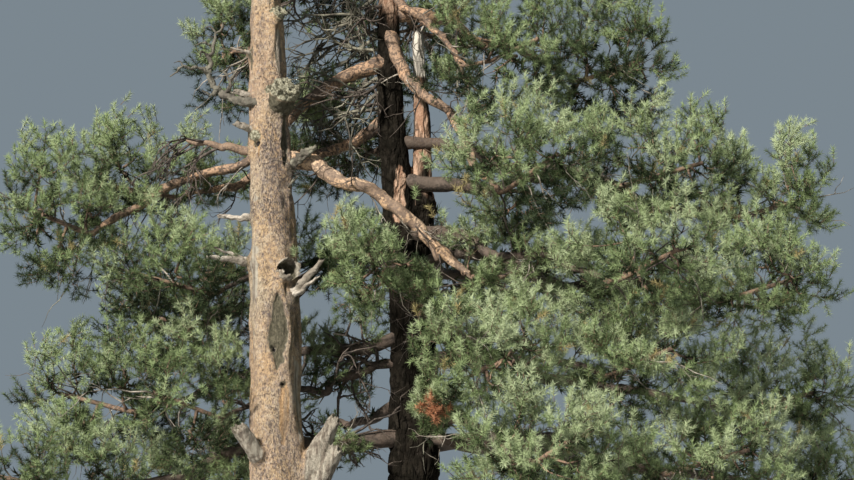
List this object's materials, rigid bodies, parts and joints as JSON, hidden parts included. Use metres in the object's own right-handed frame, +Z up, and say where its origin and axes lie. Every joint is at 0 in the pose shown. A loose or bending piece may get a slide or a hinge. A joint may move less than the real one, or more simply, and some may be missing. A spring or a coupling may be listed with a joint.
{
  "type": "pine tree",
  "caption": "Old two-stemmed pine tree with red flaky bark, broken dead stubs, long crooked boughs and open masses of needles, flat at ground level.",
  "frame": {"origin": "centre of the flat cut under the butt, at ground level", "axes": "+Z up along the tree, +X to the right and -Y towards the viewer of the picture"},
  "size_m": [9.3327, 6.7286, 14.2842],
  "materials": {
    "old_bark": "rough",
    "red_bark": "rough",
    "bough_bark": "rough",
    "needles": "satin"
  },
  "bodies": {
    "root": {"bough_back_left": "bough_bark", "bough_back_low_left": "bough_bark", "bough_back_low_right": "bough_bark", "bough_back_middle": "bough_bark", "bough_back_right": "bough_bark", "bough_crown_right": "bough_bark", "bough_left_bottom": "bough_bark", "bough_left_lower_inner": "bough_bark", "bough_left_lower_outer": "bough_bark", "bough_left_middle": "bough_bark", "bough_left_upper_inner": "bough_bark", "bough_left_upper_outer": "bough_bark", "bough_right_bottom_middle": "bough_bark", "bough_right_bottom_outer": "bough_bark", "bough_right_centre": "bough_bark", "bough_right_inner": "bough_bark", "bough_right_inner_high": "bough_bark", "bough_right_lower_middle": "bough_bark", "bough_right_lower_outer": "bough_bark", "bough_right_middle": "bough_bark", "bough_right_outer": "bough_bark", "bough_right_outer_low": "bough_bark", "bough_right_upper_outer": "bough_bark", "butt": "old_bark", "far_stem": "red_bark", "mass_back_left": "needles", "mass_back_low_left": "needles", "mass_back_low_right": "needles", "mass_back_middle": "needles", "mass_back_right": "needles", "mass_centre_back": "needles", "mass_centre_front": "needles", "mass_crown_back": "needles", "mass_crown_front": "needles", "mass_crown_left": "needles", "mass_crown_right": "needles", "mass_far_top": "needles", "mass_left_bottom": "needles", "mass_left_lower_inner": "needles", "mass_left_lower_outer": "needles", "mass_left_middle": "needles", "mass_left_top": "needles", "mass_left_upper_inner": "needles", "mass_left_upper_outer": "needles", "mass_near_top": "needles", "mass_right_bottom_inner": "needles", "mass_right_bottom_middle": "needles", "mass_right_bottom_outer": "needles", "mass_right_centre": "needles", "mass_right_inner": "needles", "mass_right_inner_high": "needles", "mass_right_lower_inner": "needles", "mass_right_lower_middle": "needles", "mass_right_lower_outer": "needles", "mass_right_middle": "needles", "mass_right_outer": "needles", "mass_right_outer_low": "needles", "mass_right_upper_inner": "needles", "mass_right_upper_outer": "needles", "near_stem": "red_bark"}
  },
  "joints": []
}
